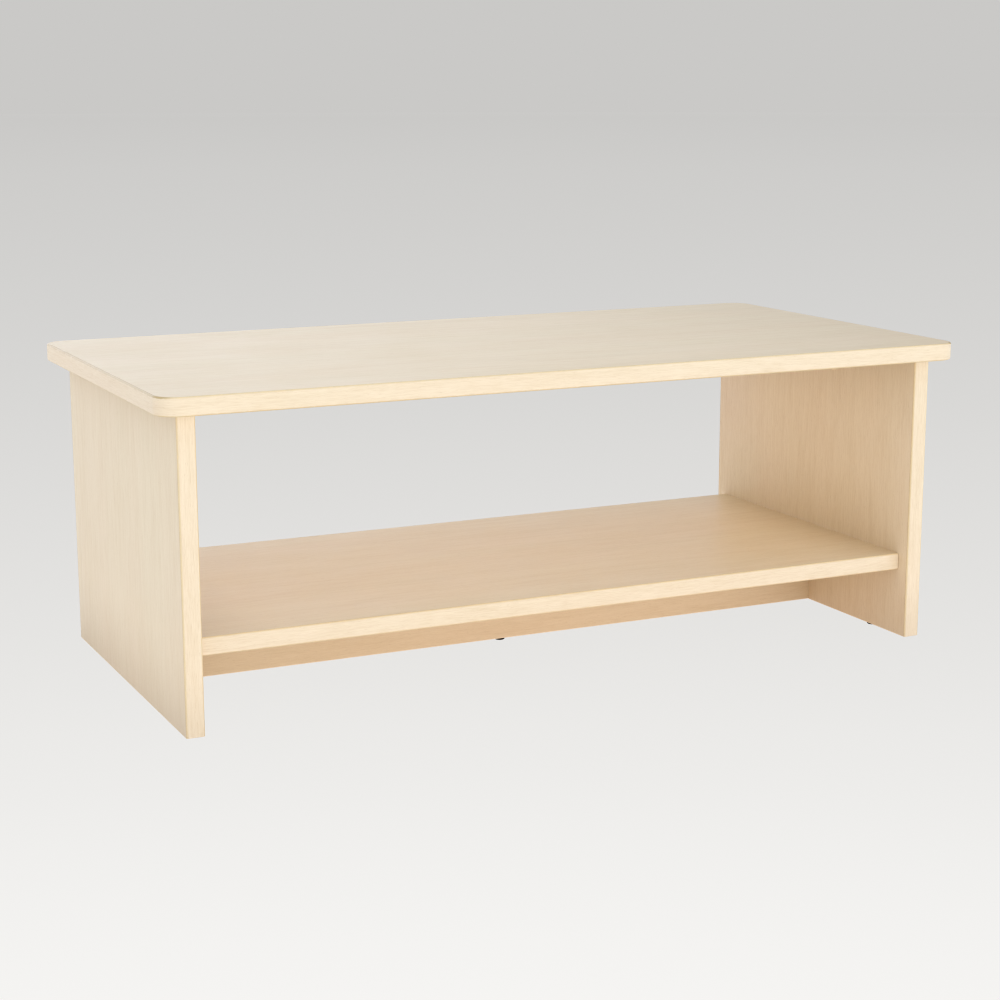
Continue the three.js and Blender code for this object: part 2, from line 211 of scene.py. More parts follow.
def laminate(name, axis, seed, mean=LAMINATE, crevice_shade_tint=(0.68, 0.64, 0.56), grain_wander_and_light_falloff=None, painted_rear_shade=None, **extra):
    """Melamine-faced board: printed maple under a clear satin coat, grain along the named axis, with painted shade in
    its corners.
    """
    m, g = material(name)
    x, y, z = g.separate(g.node("ShaderNodeTexCoord").outputs["Object"])
    order = {"x": (x, y, z), "z": (z, y, x)}[axis]
    colour, height, tone = maple(g, *order, mean, seed, **extra)
    if grain_wander_and_light_falloff:   # painted light falloff: the colour is scaled by a slow curve over the board, given as level, slope along x, curve along x, slope along y
        level = g.math("MULTIPLY_ADD", x, grain_wander_and_light_falloff[1], grain_wander_and_light_falloff[0])
        level = g.math("MULTIPLY_ADD", g.math("MULTIPLY", x, x), grain_wander_and_light_falloff[2], level)
        level = g.math("MULTIPLY_ADD", y, grain_wander_and_light_falloff[3], level)
        colour = g.node("ShaderNodeVectorMath", {0: colour, "Scale": level}, operation="SCALE").outputs[0]
    if painted_rear_shade:   # painted shade: the colour is darker towards the rear and the top of the board: how much, from y, to y, from z, to z
        amount, y0, y1, z0, z1 = painted_rear_shade
        back = g.node("ShaderNodeMapRange", {"Value": y, "From Min": y0, "From Max": y1, "To Min": 0.0, "To Max": 1.0},
                      interpolation_type="SMOOTHSTEP").outputs[0]
        high = g.node("ShaderNodeMapRange", {"Value": z, "From Min": z0, "From Max": z1, "To Min": 0.0, "To Max": amount},
                      interpolation_type="SMOOTHSTEP").outputs[0]
        colour = g.mix(g.math("MULTIPLY", back, high), colour, g.mix(1.0, colour, (0.55, 0.25, 0.45), "MULTIPLY"))
    # painted shade: darker and warmer in corners and where boards meet
    colour = painted_crevice_shade(g, colour, 0.12, crevice_shade_tint)
    # faint handling marks in the sheen
    haze = g.noise(g.combine(g.math("MULTIPLY", x, 9.0), g.math("MULTIPLY", y, 9.0), g.math("MULTIPLY", z, 9.0)), 3.0, 0.6)
    rough = g.math("MULTIPLY_ADD", g.math("SUBTRACT", haze, 0.5), 0.12, 0.44)
    rough = g.math("MULTIPLY_ADD", g.math("SUBTRACT", tone, 0.5), -0.05, rough)
    bump = g.node("ShaderNodeBump", {"Strength": 0.35, "Distance": 0.00004, "Height": height})
    g.bsdf(Base_Color=colour, Roughness=rough, Specular_IOR_Level=0.40, Normal=bump.outputs[0])
    return m


def lipping(name, seed, mean=LIPPING):
    """Edge band: the same print on the flat, plain plastic where the corners were scraped round."""
    m, g = material(name)
    co = g.node("ShaderNodeAttribute", attribute_name="band_co").outputs["Vector"]
    s, t, w = g.separate(co)
    arris = g.node("ShaderNodeAttribute", attribute_name="arris").outputs["Fac"]
    colour, height, tone = maple(g, s, t, w, mean, seed, contrast=1.08, figure=0.4, fine=1.25)
    x, y, z = g.separate(g.node("ShaderNodeTexCoord").outputs["Object"])
    mottle = g.noise(g.combine(g.math("MULTIPLY", x, 160.0), g.math("MULTIPLY", y, 160.0), g.math("MULTIPLY", z, 160.0)), 3.0, 0.6)
    plain = g.ramp(mottle, [(0.25, scaled(LIPPING_CUT, 0.95)), (0.75, scaled(LIPPING_CUT, (1.05, 1.05, 1.07)))])
    # painted highlight and shade on the rounds: a little brighter where a round faces up at the front, darker and
    # yellower where it faces down, to the rear and to the ends
    round_shade = g.node("ShaderNodeAttribute", attribute_name="round_shade").outputs["Fac"]
    plain = g.mix(round_shade, g.mix(1.0, plain, (1.035, 1.030, 1.000), "MULTIPLY"), g.mix(1.0, plain, (0.697, 0.648, 0.510), "MULTIPLY"))
    # the print wears through unevenly along the start of the round
    ragged = g.math("MULTIPLY_ADD", g.math("SUBTRACT", mottle, 0.5), 0.5, arris)
    start = g.math("MULTIPLY_ADD", round_shade, -0.14, 0.18)
    worn = g.math("MULTIPLY", g.math("SUBTRACT", ragged, start), 3.2, clamp=True)
    colour = g.mix(worn, colour, plain)
    # hairline of glue between the band and its board
    seam = g.node("ShaderNodeMapRange", {"Value": g.math("MULTIPLY_ADD", g.math("SUBTRACT", mottle, 0.5), 0.05, arris),
                                         "From Min": 0.885, "From Max": 0.945, "To Min": 0.0, "To Max": 0.9},
                  interpolation_type="SMOOTHSTEP").outputs[0]
    colour = g.mix(seam, colour, GLUE)
    # painted shade: the band is a little darker towards the floor
    scuff_and_floor_shade = g.node("ShaderNodeMapRange", {"Value": g.math("MULTIPLY_ADD", g.math("SUBTRACT", mottle, 0.5), 0.03, z),
                                          "From Min": 0.015, "From Max": 0.100, "To Min": 0.94, "To Max": 1.0},
                   interpolation_type="SMOOTHSTEP").outputs[0]
    colour = g.node("ShaderNodeVectorMath", {0: colour, "Scale": scuff_and_floor_shade}, operation="SCALE").outputs[0]
    rough = g.math("MULTIPLY_ADD", g.math("SUBTRACT", mottle, 0.5), 0.10, 0.40)
    rough = g.math("MULTIPLY_ADD", worn, -0.06, rough)
    # scraper chatter: very shallow ripples along the round
    chatter = g.math("SINE", g.math("MULTIPLY", s, 2 * math.pi * 420.0))
    height = g.math("MULTIPLY_ADD", g.math("MULTIPLY", chatter, worn), 0.10, height)
    bump = g.node("ShaderNodeBump", {"Strength": 0.30, "Distance": 0.00004, "Height": height})
    g.bsdf(Base_Color=colour, Roughness=rough, Specular_IOR_Level=0.42, Normal=bump.outputs[0])
    return m


def foot_band(name, axis):
    """Thin plain band glued under the boards."""
    m, g = material(name)
    x, y, z = g.separate(g.node("ShaderNodeTexCoord").outputs["Object"])
    order = {"x": (x, y, z), "y": (y, x, z)}[axis]
    colour, height, tone = maple(g, *order, scaled(LIPPING, (0.96, 0.94, 0.90)), 5.3, figure=0.2)
    scuff_and_floor_shade = g.noise(g.combine(g.math("MULTIPLY", x, 60.0), g.math("MULTIPLY", y, 60.0), z), 4.0, 0.65)
    marks = g.math("MULTIPLY", g.math("SUBTRACT", scuff_and_floor_shade, 0.60), 4.0, clamp=True)
    colour = g.mix(g.math("MULTIPLY", marks, 0.35), colour, (0.42, 0.36, 0.29))
    rough = g.math("MULTIPLY_ADD", marks, 0.2, 0.42)
    bump = g.node("ShaderNodeBump", {"Strength": 0.3, "Distance": 0.00005, "Height": height})
    g.bsdf(Base_Color=colour, Roughness=rough, Normal=bump.outputs[0])
    return m


def beech(name, axis):
    m, g = material(name)
    x, y, z = g.separate(g.node("ShaderNodeTexCoord").outputs["Object"])
    order = {"x": (x, y, z), "z": (z, x, y)}[axis]
    colour, height, tone = maple(g, *order, (0.58, 0.39, 0.22), 8.1, contrast=1.3)
    rough = g.math("MULTIPLY_ADD", tone, 0.15, 0.62)
    bump = g.node("ShaderNodeBump", {"Strength": 0.5, "Distance": 0.0001, "Height": height})
    g.bsdf(Base_Color=colour, Roughness=rough, Normal=bump.outputs[0])
    return m


def metal(name, mean, rough, scale):
    m, g = material(name)
    co = g.node("ShaderNodeTexCoord").outputs["Object"]
    v = g.node("ShaderNodeVectorMath", {0: co, "Scale": scale}, operation="SCALE").outputs[0]
    cloud = g.noise(v, 4.0, 0.6)
    fine = g.noise(g.node("ShaderNodeVectorMath", {0: co, "Scale": scale * 9}, operation="SCALE").outputs[0], 2.0)
    colour = g.ramp(cloud, [(0.25, scaled(mean, 0.80)), (0.55, mean), (0.8, scaled(mean, 1.12))])
    r = g.math("MULTIPLY_ADD", g.math("SUBTRACT", cloud, 0.5), 0.35, rough)
    bump = g.node("ShaderNodeBump", {"Strength": 0.35, "Distance": 0.00006, "Height": fine})
    g.bsdf(Base_Color=colour, Metallic=1.0, Roughness=r, Normal=bump.outputs[0])
    return m


def plastic(name, mean, rough, spread=0.12, grain=2600.0, shine=0.5):
    m, g = material(name)
    co = g.node("ShaderNodeTexCoord").outputs["Object"]
    cloud = g.noise(g.node("ShaderNodeVectorMath", {0: co, "Scale": 170.0}, operation="SCALE").outputs[0], 3.0, 0.6)
    fine = g.noise(g.node("ShaderNodeVectorMath", {0: co, "Scale": grain}, operation="SCALE").outputs[0], 2.0)
    colour = g.ramp(cloud, [(0.25, scaled(mean, 1 - spread)), (0.5, mean), (0.75, scaled(mean, 1 + spread))])
    r = g.math("MULTIPLY_ADD", g.math("SUBTRACT", cloud, 0.5), 0.2, rough)
    bump = g.node("ShaderNodeBump", {"Strength": 0.4, "Distance": 0.00006, "Height": fine})
    g.bsdf(Base_Color=colour, Roughness=r, Specular_IOR_Level=shine, Normal=bump.outputs[0])
    return m


# the top gets a painted light falloff: brightest a little left of the middle and at the front, darker towards the right
# end and the rear
M_TOP = laminate("maple_top", "x", 0.0, grain_wander_and_light_falloff=(1.028, -0.062, -0.175, -0.06), contrast=0.88)
M_SHELF = laminate("maple_shelf", "x", 2.3, scaled(LAMINATE, (0.984, 1.0, 1.028)), contrast=0.80, figure=1.6)
M_STRETCHER = laminate("maple_stretcher", "x", 4.9)
# the side panels' last colour is the tint of their painted crevice shade
M_LEFT = laminate("maple_left", "z", 1.2, scaled(LAMINATE, (1.0, 1.012, 1.035)), (0.68, 0.67, 0.65), contrast=0.96, fine=0.85)
# the right panel also gets painted shade towards its rear and top
M_RIGHT = laminate("maple_right", "z", 6.4, scaled(LAMINATE, (1.0, 1.003, 1.012)), (0.71, 0.675, 0.61), painted_rear_shade=(0.085, 0.10, 0.22, 0.16, 0.30), contrast=1.10)
M_BAND = lipping("maple_band", 3.1)
M_FOOT_Y = foot_band("maple_foot_band_y", "y")
M_FOOT_X = foot_band("maple_foot_band_x", "x")
M_BEECH_X = beech("beech_x", "x")
M_BEECH_Z = beech("beech_z", "z")
M_ZINC = metal("zinc", (0.56, 0.57, 0.58), 0.42, 300.0)
M_STEEL = metal("steel", (0.62, 0.62, 0.63), 0.30, 240.0)
M_CAP = plastic("cap_plastic", scaled(LIPPING, (0.98, 0.95, 0.90)), 0.40, 0.03)
M_GLIDE = plastic("glide_plastic", (0.0075, 0.0055, 0.0045), 0.52, 0.35, shine=0.14)


# ---------------------------------------------------------------- meshes

def new_object(name, mesh, mat, slot, *replaced):
    o = bpy.data.objects.new(name, mesh)
    bpy.context.scene.collection.objects.link(o)
    mesh.materials.append(mat)
    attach(o, "root")
    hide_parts(*replaced)
    return o


UP = Vector((0, 0, 1))


def ease(a, b, v):
    v = min(1.0, max(0.0, (v - a) / (b - a)))
    return v * v * (3 - 2 * v)


def painted_round_shade(n, level):
    """How much painted shade, against painted highlight, a round gets that faces along n: on a level band by whether it
    faces up or down and by its side, on an upright one by its side.
    """
    if not level:
        return 0.65 if n.y > 0 else 0.22
    flat = math.hypot(n.x, n.y)
    end = ease(0.3, 0.8, abs(n.x) / flat) if flat > 1e-6 else 0.0
    if n.z < 0:
        side, tip = 0.47, 0.58
    else:
        side, tip = 0.0, 1.0
    if n.y > 0.0 and flat > 1e-6:
        side = 0.65
    return side + (tip - side) * end


def band_section(thick, width, radius, steps, groove):
    """Half-round-cornered section: (u outward, v across, normal, share of the way round the corner, t)."""
    points = []
    for i in range(steps + 1):
        a = math.asin(min(1.0, groove / radius)) if i == 0 else (math.pi / 2) * i / steps
        u, v = thick - radius + radius * math.sin(a), radius - radius * math.cos(a)
        points.append((u, v, math.sin(a), -math.cos(a), 1.0 - i / steps))
    for i in range(steps + 1):
        a = math.asin(min(1.0, groove / radius)) if i == steps else (math.pi / 2) * (1 - i / steps)
        u, v = thick - radius + radius * math.sin(a), width - radius + radius * math.cos(a)
        points.append((u, v, math.sin(a), math.cos(a), i / steps))
    t, out = 0.0, []
    for i, p in enumerate(points):
        if i:
            t += math.hypot(p[0] - points[i - 1][0], p[1] - points[i - 1][1])
        out.append((*p, t))
    return out


SECTION = band_section(3 * MM, 25 * MM, 3 * MM, 10, 0.2 * MM)
GROOVE = 0.25 * MM


def sweep(name, frames, closed, flip, bevels=(0.0, 0.0)):
    """Carries SECTION along frames [(point on the board's edge, outward, across, s)], with its back face and its ends."""
    bm = bmesh.new()
    width = 25 * MM
    rings = []
    profile = [(p[0], p[1]) for p in SECTION] + [(0.0, width - GROOVE), (0.0, GROOVE)]
    normals = [(p[2], p[3]) for p in SECTION] + [(-0.7071, 0.7071), (-0.7071, -0.7071)]
    count = len(profile)
    plan = []
    for k, f in enumerate(frames):
        plan.append((f, 0.0, 0.0))
    first, last = frames[0], frames[-1]
    if bevels[0]:
        run = (frames[1][0] - first[0]).normalized()
        plan[0] = ((first[0] + run * bevels[0], first[1], first[2], first[3] + bevels[0]), 0.0, 0.0)
        plan.insert(0, ((first[0] + run * bevels[0] * 0.29, first[1], first[2], first[3] + bevels[0] * 0.29), bevels[0] * 0.29, 0.5))
        plan.insert(0, (first, bevels[0], 1.0))
    if bevels[1]:
        run = (frames[-2][0] - last[0]).normalized()
        plan[-1] = ((last[0] + run * bevels[1], last[1], last[2], last[3] - bevels[1]), 0.0, 0.0)
        plan.append(((last[0] + run * bevels[1] * 0.29, last[1], last[2], last[3] - bevels[1] * 0.29), bevels[1] * 0.29, 0.5))
        plan.append((last, bevels[1], 1.0))
    for (point, out, across, s), inset, _ in plan:
        ring = []
        for (u, v), (nu, nv) in zip(profile, normals):
            u2, v2 = u, v
            if inset:
                u2 = max(u - nu * inset, 0.0) if u > 1e-9 else 0.0
                v2 = min(max(v - nv * inset, 0.00002), width - 0.00002)
            ring.append(bm.verts.new(point + out * u2 + across * v2))
        rings.append(ring)
    faces = []   # (face, per-corner data)
    n = len(plan)
    spans = n if closed else n - 1
    length = sum((frames[(k + 1) % len(frames)][0] + frames[(k + 1) % len(frames)][1] * 3 * MM
                  - frames[k][0] - frames[k][1] * 3 * MM).length for k in range(len(frames))) if closed else 0.0
    kinds = []
    for k in range(spans):
        k2 = (k + 1) % n
        fa, fb = plan[k][0], plan[k2][0]
        sa, sb = fa[3], fb[3]
        if closed and k2 == 0:
            sb = length
        run = (fb[0] + fb[1] * 0.003 - fa[0] - fa[1] * 0.003).normalized()
        for j in range(count):
            j2 = (j + 1) % count
            quad = [(k, j), (k, j2), (k2, j2), (k2, j)]
            if flip:
                quad.reverse()
            kinds.append(("side", quad, j, {k: sa, k2: sb}, run))
    if not closed:
        a = [(0, j) for j in range(count)]
        b = [(n - 1, j) for j in range(count)]
        if not flip:
            a.reverse()
        else:
            b.reverse()
        kinds.append(("cap", a, None, {0: plan[0][0][3]}, -(plan[1][0][0] - plan[0][0][0]).normalized()))
        kinds.append(("cap", b, None, {n - 1: plan[-1][0][3]}, (plan[-1][0][0] - plan[-2][0][0]).normalized()))
    shown = len(SECTION) - 1
    data = []
    for kind, corners, j, s_of, axis in kinds:
        face = bm.faces.new([rings[k][i] for k, i in corners])
        face.smooth = True
        normals_out, co_out, arris_out, round_shade_out = [], [], [], []
        for k, i in corners:
            (point, out, across, s), inset, tilt = plan[k]
            if kind == "cap":
                normals_out.append(axis)
            elif j < shown:
                nu, nv = normals[i]
                normal = (out * nu + across * nv).normalized()
                if tilt:
                    way = -axis if k <= 1 else axis
                    normal = normal.lerp(way, 0.5 if tilt == 0.5 else 0.85).normalized()
                normals_out.append(normal)
            else:
                normals_out.append(None)
            t = SECTION[i][5] if i < len(SECTION) else (SECTION[-1][5] if i == len(SECTION) else 0.0)
            co_out.append((s_of[k], t, 0.0 if kind == "side" and j < shown else 0.37))
            arris_out.append(SECTION[i][4] if i < len(SECTION) else 1.0)
            nu, nv = normals[i]
            # painted highlight and shade of the rounds, by the way each faces
            round_shade_out.append(painted_round_shade(out * max(nu, 0.05) + across * nv, abs(across.z) > 0.5))
        data.append((face, normals_out, co_out, arris_out, round_shade_out))
    bm.normal_update()
    bm.faces.ensure_lookup_table()
    order = {face: k for k, (face, *_) in enumerate(data)}
    loop_normals, loop_co, loop_arris, loop_round_shade = [], [], [], []
    for face in bm.faces:
        _, ns, cs, rs, ds = data[order[face]]
        flat = face.normal.copy()
        for nrm, c, r, d in zip(ns, cs, rs, ds):
            nrm = flat if nrm is None else nrm
            loop_normals.append(nrm if nrm.dot(flat) > 0 else flat)
            loop_co.append(c)
            loop_arris.append(r)
            loop_round_shade.append(d)
    mesh = bpy.data.meshes.new(name)
    bm.to_mesh(mesh)
    bm.free()
    at = mesh.attributes.new("band_co", "FLOAT_VECTOR", "CORNER")
    at.data.foreach_set("vector", [x for c in loop_co for x in c])
    at = mesh.attributes.new("arris", "FLOAT", "CORNER")
    at.data.foreach_set("value", loop_arris)
    at = mesh.attributes.new("round_shade", "FLOAT", "CORNER")
    at.data.foreach_set("value", loop_round_shade)
    mesh.normals_split_custom_set([tuple(v) for v in loop_normals])
    mesh.update()
    return mesh


def check_outward(mesh):
    """The signed volume has to be positive, or the faces look inward."""
    total = 0.0
    for p in mesh.polygons:
        vs = [mesh.vertices[i].co for i in p.vertices]
        for i in range(1, len(vs) - 1):
            total += vs[0].dot(vs[i].cross(vs[i + 1])) / 6
    if total <= 0:
        raise ValueError(f"{mesh.name} is inside out")


def edge_band_loop(node):
    """The top's band: round the whole rounded rectangle, with its butt joint in the middle of the rear edge."""
    lo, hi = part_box(node)
    thick, corner, steps = 3 * MM, 30 * MM, 24
    hx, hy, z0 = hi.x - thick, hi.y - thick, lo.z
    r = corner - thick
    path = []

    def straight(a, b, n, out):
        for i in range(n):
            p = a.lerp(b, i / n)
            path.append((p, out))

    def bend(cx, cy, start):
        for i in range(steps):
            ang = math.radians(start - 90 * i / steps)
            out = Vector((math.cos(ang), math.sin(ang), 0))
            path.append((Vector((cx, cy, z0)) + out * r, out))

    # clockwise seen from above, from the middle of the rear edge
    straight(Vector((0, hy, z0)), Vector((hx - r, hy, z0)), 12, Vector((0, 1, 0)))
    bend(hx - r, hy - r, 90)
    straight(Vector((hx, hy - r, z0)), Vector((hx, -hy + r, z0)), 12, Vector((1, 0, 0)))
    bend(hx - r, -hy + r, 0)
    straight(Vector((hx - r, -hy, z0)), Vector((-hx + r, -hy, z0)), 24, Vector((0, -1, 0)))
    bend(-hx + r, -hy + r, -90)
    straight(Vector((-hx, -hy + r, z0)), Vector((-hx, hy - r, z0)), 12, Vector((-1, 0, 0)))
    bend(-hx + r, hy - r, -180)
    straight(Vector((-hx + r, hy, z0)), Vector((0, hy, z0)), 12, Vector((0, 1, 0)))
    frames, s = [], 0.0
    for i, (p, out) in enumerate(path):
        if i:
            q, o2 = path[i - 1]
            s += ((p + out * thick) - (q + o2 * thick)).length
        frames.append((p, out, UP, s))
    mesh = sweep("top_band", frames, True, False)
    check_outward(mesh)
    return new_object("top_band", mesh, M_BAND, "maple_edge_band", node)


def edge_band_upright(node, name, seed):
    lo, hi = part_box(node)
    sign = -1 if lo.y < 0 else 1
    edge_y = (hi.y if sign < 0 else lo.y)
    out, across = Vector((0, sign, 0)), Vector((1, 0, 0))
    n = 10
    frames = [(Vector((lo.x, edge_y, lo.z + (hi.z - lo.z) * i / n)), out, across, seed + lo.z + (hi.z - lo.z) * i / n)
              for i in range(n + 1)]
    mesh = sweep(name, frames, False, sign > 0, (0.35 * MM, 0.0))
    check_outward(mesh)
    return new_object(name, mesh, M_BAND, "maple_edge_band", node)


def edge_band_level(node, name, seed):
    lo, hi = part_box(node)
    sign = -1 if lo.y < 0 else 1
    edge_y = (hi.y if sign < 0 else lo.y)
    out = Vector((0, sign, 0))
    n = 24
    x0, x1 = lo.x + 0.3 * MM, hi.x - 0.3 * MM   # a hairline gap to the side panels
    frames = [(Vector((x0 + (x1 - x0) * i / n, edge_y, lo.z)), out, UP, seed + (x1 - x0) * i / n)
              for i in range(n + 1)]
    mesh = sweep(name, frames, False, sign < 0, (0.45 * MM, 0.45 * MM))
    check_outward(mesh)
    return new_object(name, mesh, M_BAND, "maple_edge_band", node)


edge_band_loop("top_edge_band")
edge_band_upright("left_side_front_band", "left_front_band", 11.0)
edge_band_upright("left_side_rear_band", "left_rear_band", 12.3)
edge_band_upright("right_side_front_band", "right_front_band", 13.7)
edge_band_upright("right_side_rear_band", "right_rear_band", 14.9)
edge_band_level("shelf_front_band", "shelf_front_lipping", 16.2)
edge_band_level("shelf_rear_band", "shelf_rear_lipping", 18.8)


def lathe(name, profile, segments, matrix):
    """A turned mesh: profile of (radius, height) pairs, closed on the axis at both ends."""
    bm = bmesh.new()
    rings = []
    for r, h in profile:
        if r < 1e-9:
            rings.append([bm.verts.new((0, 0, h))])
        else:
            rings.append([bm.verts.new((r * math.cos(2 * math.pi * i / segments), r * math.sin(2 * math.pi * i / segments), h))
                          for i in range(segments)])
    for a, b in zip(rings, rings[1:]):
        for i in range(segments):
            i2 = (i + 1) % segments
            if len(a) == 1:
                bm.faces.new([a[0], b[i2], b[i]])
            elif len(b) == 1:
                bm.faces.new([a[i], a[i2], b[0]])
            else:
                bm.faces.new([a[i], a[i2], b[i2], b[i]])
    return finish_mesh(name, bm, matrix)


def finish_mesh(name, bm, matrix, angle=32.0):
    bmesh.ops.transform(bm, matrix=matrix, verts=bm.verts)
    bmesh.ops.recalc_face_normals(bm, faces=bm.faces)
    if bm.calc_volume(signed=True) < 0:
        bmesh.ops.reverse_faces(bm, faces=bm.faces)
    for f in bm.faces:
        f.smooth = True
    limit = math.radians(angle)
    for e in bm.edges:
        if len(e.link_faces) == 2 and e.calc_face_angle(0.0) > limit:
            e.smooth = False
    mesh = bpy.data.meshes.new(name)
    bm.to_mesh(mesh)
    bm.free()
    return mesh


def rounded(profile, radius, steps=4):
    """Rounds the inner corners of an open profile."""
    out = [profile[0]]
    for a, b, c in zip(profile, profile[1:], profile[2:]):
        va, vc = Vector((a[0] - b[0], a[1] - b[1])), Vector((c[0] - b[0], c[1] - b[1]))
        r = min(radius, va.length * 0.45, vc.length * 0.45)
        pa, pc, pb = Vector(b) + va.normalized() * r, Vector(b) + vc.normalized() * r, Vector(b)
        for i in range(steps + 1):
            t = i / steps
            p = pa * (1 - t) ** 2 + pb * (2 * t * (1 - t)) + pc * t ** 2
            out.append((p.x, p.y))
    out.append(profile[-1])
    return out


def frame_at(point, w, u=None):
    w = Vector(w).normalized()
    u = Vector(u) if u is not None else (Vector((1, 0, 0)) if abs(w.x) < 0.9 else Vector((0, 1, 0)))
    v = w.cross(u).normalized()
    u = v.cross(w)
    return Matrix(((u.x, v.x, w.x, point[0]), (u.y, v.y, w.y, point[1]), (u.z, v.z, w.z, point[2]), (0, 0, 0, 1)))


def middle(node):
    lo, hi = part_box(node)
    return lo, hi, (lo + hi) / 2


# glides: a low moulded button with a rounded foot and a ring round its base
for label in ("left_front", "left_rear", "right_front", "right_rear", "middle"):
    node = f"glide_{label}"
    lo, hi, mid = middle(node)
    button = rounded([(0, 0), (4.9, 0.0), (7.0, 0.55), (7.75, 2.0), (7.75, 3.6), (8.0, 3.75), (8.0, 5.0), (1.2, 5.0)], 0.9)
    profile = [(r * MM, h * MM) for r, h in button] + [(1.2 * MM, 21 * MM), (0, 23.5 * MM)]
    mesh = lathe(f"glide_button_{label}", profile, 48, Matrix.Translation((mid.x, mid.y, lo.z)))
    new_object(f"glide_button_{label}", mesh, M_GLIDE, "black_glide", node)

# cover caps over the cams of the top joint: a low dome with a soft rim
for side, sx in (("left", -1), ("right", 1)):
    for end in ("front", "rear"):
        node = f"top_cam_cap_{side}_{end}"
        lo, hi, mid = middle(node)
        face_x = lo.x + 1.5 * MM if sx < 0 else hi.x - 1.5 * MM
        dome = [(0, -1.5), (0.45, -1.5), (0.45, 0.0), (8.5, 0.0), (8.5, 0.28), (8.36, 0.5), (8.0, 0.66),
                (7.2, 0.82), (6.0, 0.93), (4.5, 1.02), (2.5, 1.08), (0, 1.1)]
        mesh = lathe(f"cam_cap_{side}_{end}", [(r * MM, h * MM) for r, h in dome], 64,
                     frame_at((face_x, mid.y, mid.z), (-sx, 0, 0)))
        new_object(f"cam_cap_{side}_{end}", mesh, M_CAP, "maple_cap", node)


def solid_box(bm, x0, x1, y0, y1, z0, z1, taper=1.0):
    """A box whose far end (z1) is smaller by taper."""
    cx, cy = (x0 + x1) / 2, (y0 + y1) / 2
    vs = []
    for z, k in ((z0, 1.0), (z1, taper)):
        for x, y in ((x0, y0), (x1, y0), (x1, y1), (x0, y1)):
            vs.append(bm.verts.new((cx + (x - cx) * k, cy + (y - cy) * k, z)))
    for f in ((3, 2, 1, 0), (4, 5, 6, 7), (0, 1, 5, 4), (1, 2, 6, 5), (2, 3, 7, 6), (3, 0, 4, 7)):
        bm.faces.new([vs[i] for i in f])


def boolean(name, base, tools, matrix):
    """base minus the tools, as one mesh."""
    objects = []
    for k, m in enumerate([base, *tools]):
        o = bpy.data.objects.new(f"{name}_part{k}", m)
        bpy.context.scene.collection.objects.link(o)
        objects.append(o)
    for tool in objects[1:]:
        mod = objects[0].modifiers.new("cut", "BOOLEAN")
        mod.operation, mod.solver, mod.object = "DIFFERENCE", "EXACT", tool
    dg = bpy.context.evaluated_depsgraph_get()
    made = bpy.data.meshes.new_from_object(objects[0].evaluated_get(dg))
    for o in objects:
        m = o.data
        bpy.data.objects.remove(o)
        bpy.data.meshes.remove(m)
    bm = bmesh.new()
    bm.from_mesh(made)
    bpy.data.meshes.remove(made)
    bmesh.ops.remove_doubles(bm, verts=bm.verts, dist=1e-7)
    mesh = finish_mesh(name, bm, matrix, 30.0)
    mesh.name = name
    return mesh


def cam_mesh(name, matrix):
    """Cast cam: chamfered drum with a raised rim, cross recess, arrow notch towards the bolt and a pocket for its head."""
    drum = rounded([(0, 0.62), (5.7, 0.62), (5.9, 0.3), (7.1, 0.3), (7.5, 0.7), (7.5, 16.5), (0, 16.5)], 0.18, 3)
    body = lathe(f"{name}_drum", [(r * MM, h * MM) for r, h in drum], 56, Matrix.Identity(4))
    cuts = []
    for spec in (
        [(-3.9, 3.9, -0.62, 0.62)],
        [(-0.62, 0.62, -3.9, 3.9)],
    ):
        bm = bmesh.new()
        for x0, x1, y0, y1 in spec:
            solid_box(bm, x0 * MM, x1 * MM, y0 * MM, y1 * MM, -1 * MM, 2.8 * MM, 0.82)
        m = bpy.data.meshes.new(f"{name}_cross")
        bm.to_mesh(m)
        bm.free()
        cuts.append(m)
    bm = bmesh.new()
    solid_box(bm, -4.3 * MM, 9 * MM, -4 * MM, 4 * MM, 8.5 * MM, 16.45 * MM)
    m = bpy.data.meshes.new(f"{name}_pocket")
    bm.to_mesh(m)
    bm.free()
    cuts.append(m)
    bm = bmesh.new()   # arrow notch in the rim
    a = [bm.verts.new((x * MM, y * MM, -1 * MM)) for x, y in ((6.9, 0), (5.0, 0.9), (5.0, -0.9))]
    b = [bm.verts.new((x * MM, y * MM, 0.95 * MM)) for x, y in ((6.9, 0), (5.0, 0.9), (5.0, -0.9))]
    bm.faces.new(a)
    bm.faces.new(b[::-1])
    for i in range(3):
        bm.faces.new([a[i], b[i], b[(i + 1) % 3], a[(i + 1) % 3]])
    bmesh.ops.recalc_face_normals(bm, faces=bm.faces)
    m = bpy.data.meshes.new(f"{name}_arrow")
    bm.to_mesh(m)
    bm.free()
    cuts.append(m)
    return boolean(name, body, cuts, matrix)


for side, sx in (("left", -1), ("right", 1)):
    for end in ("front", "rear"):
        node = f"shelf_cam_{side}_{end}"
        lo, hi, mid = middle(node)
        mesh = cam_mesh(f"cam_shelf_{side}_{end}", frame_at((mid.x, mid.y, lo.z - 0.3 * MM), (0, 0, 1), (sx, 0, 0)))
        new_object(f"cam_shelf_{side}_{end}", mesh, M_ZINC, "zinc_cam", node)
    node = f"stretcher_cam_{side}"
    lo, hi, mid = middle(node)
    mesh = cam_mesh(f"cam_stretcher_{side}", frame_at((mid.x, hi.y + 0.3 * MM, mid.z), (0, -1, 0), (sx, 0, 0)))
    new_object(f"cam_stretcher_{side}", mesh, M_ZINC, "zinc_cam", node)


# ---------------------------------------------------------------- CAD nodes that stay

